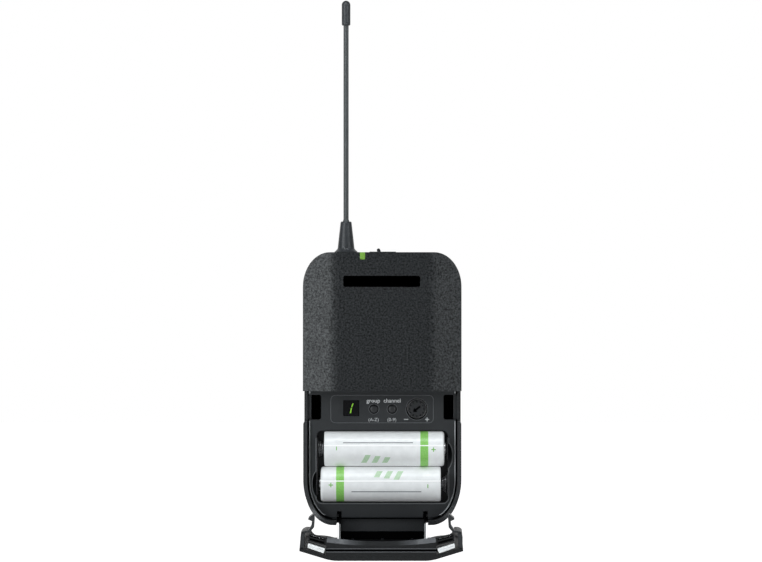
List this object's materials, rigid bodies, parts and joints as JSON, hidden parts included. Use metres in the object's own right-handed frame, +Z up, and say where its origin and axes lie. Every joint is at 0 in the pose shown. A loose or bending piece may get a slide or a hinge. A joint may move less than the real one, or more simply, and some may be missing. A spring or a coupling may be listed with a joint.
{
  "type": "wireless bodypack transmitter",
  "caption": "Belt-worn radio microphone transmitter with whip antenna, power switch, recessed jack, control panel, hinged battery door with squeeze latches, cells and a wire belt clip.",
  "frame": {"origin": "middle of the flat land on the back of the case that rests against the belt", "axes": "+Z up along the antenna, the front and the battery door face -Y, +X is to the right seen from the front"},
  "size_m": [0.064, 0.0664, 0.223],
  "materials": {
    "case_black": "fine moulded texture",
    "chassis_black": "satin moulded",
    "button_black": "satin",
    "window_dark": "smoked clear",
    "glow_green": "lit",
    "rubber_black": "matt",
    "coated_wire": "satin coating over a spring-steel core",
    "steel": "bright zinc",
    "spring_steel": "nickel plated",
    "brass_gold": "gold flashed",
    "board_green": "solder mask over glass epoxy",
    "can_silver": "tinned",
    "cell_label": "satin printed sleeve",
    "plate_grey": "blank silver label stock"
  },
  "bodies": {
    "case": {"front_cover": "case_black", "back_shell": "case_black", "chassis": "chassis_black", "hinge_pin_left": "steel", "hinge_pin_right": "steel", "gain_pot": "can_silver", "display_module": "window_dark", "display_window": "window_dark", "digit_segment_upper": "glow_green", "digit_segment_lower": "glow_green", "status_light_pipe": "glow_green", "switch_bezel": "button_black", "switch_housing": "button_black", "antenna_boot": "rubber_black", "antenna_post": "brass_gold", "jack_shell": "steel", "jack_insert": "button_black", "jack_pin_1": "brass_gold", "jack_pin_2": "brass_gold", "jack_pin_3": "brass_gold", "jack_pin_4": "brass_gold", "contact_coil_upper": "spring_steel", "contact_coil_lower": "spring_steel", "contact_plate_upper": "spring_steel", "contact_plate_lower": "spring_steel", "contact_link": "spring_steel", "main_board": "board_green", "shield_can": "can_silver", "case_screw_1": "steel", "case_screw_2": "steel", "case_screw_3": "steel", "case_screw_4": "steel", "rating_plate": "plate_grey"},
    "door": {"battery_door": "case_black"},
    "latch_left_slider": {"latch_left": "chassis_black"},
    "latch_right_slider": {"latch_right": "chassis_black"},
    "group_key": {"group_button": "button_black"},
    "channel_key": {"channel_button": "button_black"},
    "dial": {"gain_dial": "button_black"},
    "switch_lever": {"power_switch": "button_black"},
    "antenna": {"antenna_whip": "coated_wire", "antenna_tip": "rubber_black"},
    "cell_upper": {"battery_upper": "cell_label"},
    "cell_lower": {"battery_lower": "cell_label"},
    "clip": {"belt_clip": "spring_steel"}
  },
  "joints": [
    {"name": "door_hinge", "type": "hinge", "parent": "case", "child": "door", "pos_m": [0, -0.0092, -0.0516], "axis": [1, 0, 0], "range_deg": [-93, 0]},
    {"name": "latch_left_squeeze", "type": "slide", "parent": "door", "child": "latch_left_slider", "axis": [1, 0, 0], "range_m": [0, 0.0012], "stiffness_N_per_m": 900},
    {"name": "latch_right_squeeze", "type": "slide", "parent": "door", "child": "latch_right_slider", "axis": [-1, 0, 0], "range_m": [0, 0.0012], "stiffness_N_per_m": 900},
    {"name": "group_button_press", "type": "slide", "parent": "case", "child": "group_key", "axis": [0, 1, 0], "range_m": [0, 0.0005], "stiffness_N_per_m": 1200},
    {"name": "channel_button_press", "type": "slide", "parent": "case", "child": "channel_key", "axis": [0, 1, 0], "range_m": [0, 0.0005], "stiffness_N_per_m": 1200},
    {"name": "gain_dial_turn", "type": "hinge", "parent": "case", "child": "dial", "pos_m": [0.014, -0.0095, -0.0085], "axis": [0, 1, 0], "range_deg": [-140, 140]},
    {"name": "power_switch_throw", "type": "hinge", "parent": "case", "child": "switch_lever", "pos_m": [0.0002, -0.0105, 0.0504], "axis": [0, 1, 0], "range_deg": [0, 35]},
    {"name": "antenna_flex", "type": "hinge", "parent": "case", "child": "antenna", "pos_m": [-0.0147, -0.0105, 0.0675], "axis": [0, 1, 0], "range_deg": [-30, 30], "stiffness_Nm_per_rad": 0.06},
    {"name": "cell_upper_out", "type": "slide", "parent": "case", "child": "cell_upper", "axis": [0, -1, 0], "range_m": [0, 0.03]},
    {"name": "cell_lower_out", "type": "slide", "parent": "case", "child": "cell_lower", "axis": [0, -1, 0], "range_m": [0, 0.03]},
    {"name": "belt_clip_flex", "type": "hinge", "parent": "case", "child": "clip", "pos_m": [0, -0.0047, 0.022], "axis": [1, 0, 0], "range_deg": [0, 10], "stiffness_Nm_per_rad": 2}
  ]
}
